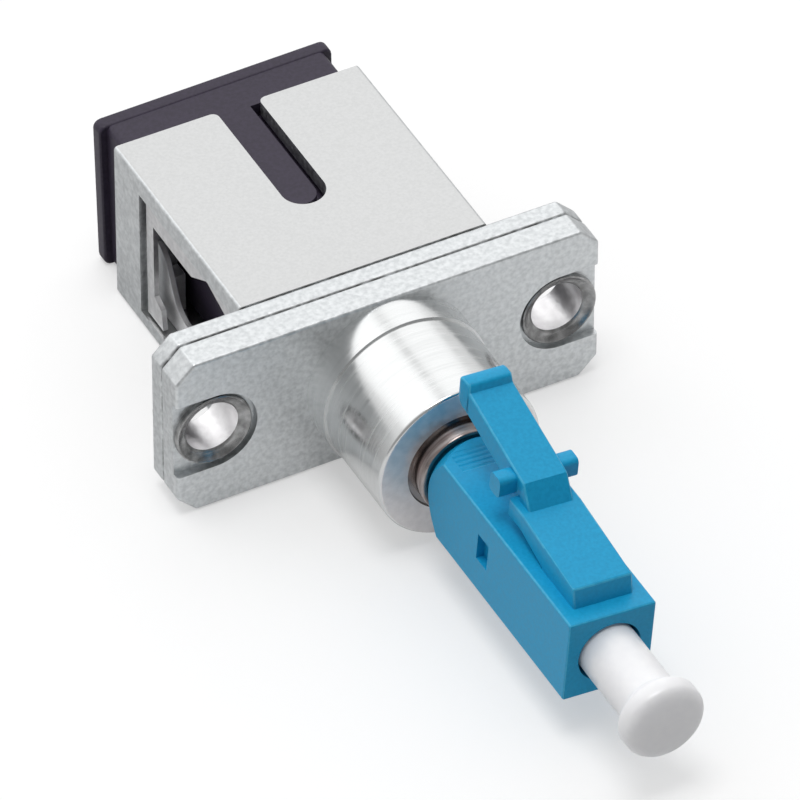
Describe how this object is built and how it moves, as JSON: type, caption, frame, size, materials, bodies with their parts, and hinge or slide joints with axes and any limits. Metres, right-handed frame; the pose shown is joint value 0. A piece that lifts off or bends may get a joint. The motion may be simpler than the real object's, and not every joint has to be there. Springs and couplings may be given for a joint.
{
  "type": "fibre optic adapter",
  "caption": "Panel adapter with a square socket and key slot behind a flange with fixing holes, a round boss with a small square latching plug in front, and a cover on each end.",
  "frame": {"origin": "midway between the two fixing holes, on the rear face of the flange", "axes": "+X along the flange, +Y along the light path out of the large socket, +Z towards the side with the key slot"},
  "size_m": [0.022, 0.0451, 0.011],
  "materials": {
    "cast_metal": "satin",
    "turned_metal": "turned",
    "eyelet_metal": "polished",
    "ring_metal": "turned",
    "frame_metal": "satin",
    "spring_steel": "bright",
    "holder_metal": "turned",
    "blue_plastic": "satin",
    "white_plastic": "satin",
    "dark_plastic": "satin",
    "ferrule_ceramic": "polished",
    "sleeve_ceramic": "polished",
    "fibre_glass": "clear"
  },
  "bodies": {
    "adapter": {"sc_housing": "cast_metal", "nose_housing": "turned_metal", "eyelet_left": "eyelet_metal", "eyelet_right": "eyelet_metal", "retaining_ring": "ring_metal", "lc_housing": "blue_plastic", "ferrule_spring": "spring_steel", "spring_bush": "holder_metal", "split_sleeve": "sleeve_ceramic", "sleeve_tube": "holder_metal", "inner_frame": "frame_metal"},
    "latch": {"lc_latch": "blue_plastic"},
    "ferrule": {"ferrule_holder": "holder_metal", "lc_ferrule": "ferrule_ceramic", "sc_ferrule": "ferrule_ceramic", "optical_fibre": "fibre_glass"},
    "ferrule_cover": {"lc_cap": "white_plastic"},
    "socket_cover": {"sc_dust_cap": "dark_plastic"},
    "left_hook": {"hook_left": "spring_steel"},
    "right_hook": {"hook_right": "spring_steel"}
  },
  "joints": [
    {"name": "latch_press", "type": "hinge", "parent": "adapter", "child": "latch", "pos_m": [0.00018, -0.02, 0.00223], "axis": [-0.9969, 0, 0.0785], "range_deg": [0, 6], "stiffness_Nm_per_rad": 0.1},
    {"name": "ferrule_slide", "type": "slide", "parent": "adapter", "child": "ferrule", "axis": [0, 1, 0], "range_m": [0, 0.0006], "stiffness_N_per_m": 2000, "springref_m": -0.0015, "deforming": ["ferrule_spring"]},
    {"name": "ferrule_cover_pull", "type": "slide", "parent": "ferrule", "child": "ferrule_cover", "axis": [0, -1, 0], "range_m": [0, 0.006]},
    {"name": "socket_cover_pull", "type": "slide", "parent": "adapter", "child": "socket_cover", "axis": [0, 1, 0], "range_m": [0, 0.009]},
    {"name": "left_hook_spread", "type": "hinge", "parent": "adapter", "child": "left_hook", "pos_m": [-0.00547, 0.00085, -0.00312], "axis": [0, 0, 1], "range_deg": [0, 1.8], "stiffness_Nm_per_rad": 0.05},
    {"name": "right_hook_spread", "type": "hinge", "parent": "adapter", "child": "right_hook", "pos_m": [0.00547, 0.00085, -0.00312], "axis": [0, 0, -1], "range_deg": [0, 1.8], "stiffness_Nm_per_rad": 0.05}
  ]
}
